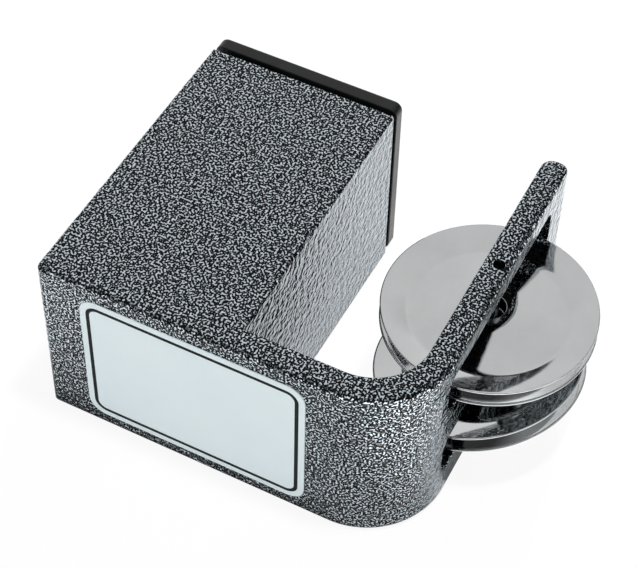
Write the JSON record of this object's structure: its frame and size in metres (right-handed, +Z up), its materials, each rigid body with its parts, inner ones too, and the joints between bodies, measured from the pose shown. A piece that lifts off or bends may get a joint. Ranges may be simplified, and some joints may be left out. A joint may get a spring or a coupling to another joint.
{
  "type": "percussion shaker",
  "caption": "Hand percussion shaker: square steel tube closed by a plastic cap, with a bent flat-bar arm whose slots carry pairs of loose round jingles on an upright pin; loose shot inside.",
  "frame": {"origin": "middle of the tube's lower flat face", "axes": "+X from the tube towards the jingle arm, +Y from the label to the cap, +Z up from the face it rests on"},
  "size_m": [0.1164, 0.0862, 0.05],
  "materials": {
    "hammered_paint": "black and silver hammered powder coat",
    "black_plastic": "satin moulded black",
    "label_film": "pale printed film, left bare",
    "pin_steel": "drawn steel",
    "polished_steel": "bright polished plate",
    "shot_steel": "plain steel balls"
  },
  "bodies": {
    "frame_body": {"shaker_tube": "hammered_paint", "jingle_bar": "hammered_paint", "end_cap": "black_plastic", "front_label": "label_film", "jingle_pin": "pin_steel"},
    "upper_pair_low": {"upper_jingle_bottom": "polished_steel"},
    "upper_pair_high": {"upper_jingle_top": "polished_steel"},
    "lower_pair_low": {"lower_jingle_bottom": "polished_steel"},
    "lower_pair_high": {"lower_jingle_top": "polished_steel"},
    "shot_row_1": {"shot_1_1": "shot_steel", "shot_1_2": "shot_steel", "shot_1_3": "shot_steel", "shot_1_4": "shot_steel"},
    "shot_row_2": {"shot_2_1": "shot_steel", "shot_2_2": "shot_steel", "shot_2_3": "shot_steel", "shot_2_4": "shot_steel"},
    "shot_row_3": {"shot_3_1": "shot_steel", "shot_3_2": "shot_steel", "shot_3_3": "shot_steel", "shot_3_4": "shot_steel"},
    "shot_row_4": {"shot_4_1": "shot_steel", "shot_4_2": "shot_steel", "shot_4_3": "shot_steel", "shot_4_4": "shot_steel"},
    "shot_row_5": {"shot_5_1": "shot_steel", "shot_5_2": "shot_steel", "shot_5_3": "shot_steel", "shot_5_4": "shot_steel"},
    "shot_row_6": {"shot_6_1": "shot_steel", "shot_6_2": "shot_steel", "shot_6_3": "shot_steel", "shot_6_4": "shot_steel"}
  },
  "joints": [
    {"name": "upper_low_slide", "type": "slide", "parent": "frame_body", "child": "upper_pair_low", "axis": [0, 0, 1], "range_m": [0, 0.003]},
    {"name": "upper_high_slide", "type": "slide", "parent": "upper_pair_low", "child": "upper_pair_high", "axis": [0, 0, 1], "range_m": [0, 0.0034]},
    {"name": "lower_low_slide", "type": "slide", "parent": "frame_body", "child": "lower_pair_low", "axis": [0, 0, 1], "range_m": [-0.002, 0.0022]},
    {"name": "lower_high_slide", "type": "slide", "parent": "lower_pair_low", "child": "lower_pair_high", "axis": [-0.1959, 0, 0.9806], "range_m": [0, 0.0012]},
    {"name": "shot_row_1_roll", "type": "slide", "parent": "frame_body", "child": "shot_row_1", "axis": [0, 1, 0], "range_m": [-0.00643, 0.03417]},
    {"name": "shot_row_2_roll", "type": "slide", "parent": "frame_body", "child": "shot_row_2", "axis": [0, 1, 0], "range_m": [-0.02356, 0.01704]},
    {"name": "shot_row_3_roll", "type": "slide", "parent": "frame_body", "child": "shot_row_3", "axis": [0, 1, 0], "range_m": [-0.01214, 0.02846]},
    {"name": "shot_row_4_roll", "type": "slide", "parent": "frame_body", "child": "shot_row_4", "axis": [0, 1, 0], "range_m": [-0.03172, 0.00888]},
    {"name": "shot_row_5_roll", "type": "slide", "parent": "frame_body", "child": "shot_row_5", "axis": [0, 1, 0], "range_m": [-0.01785, 0.02275]},
    {"name": "shot_row_6_roll", "type": "slide", "parent": "frame_body", "child": "shot_row_6", "axis": [0, 1, 0], "range_m": [-0.00235, 0.03825]}
  ]
}
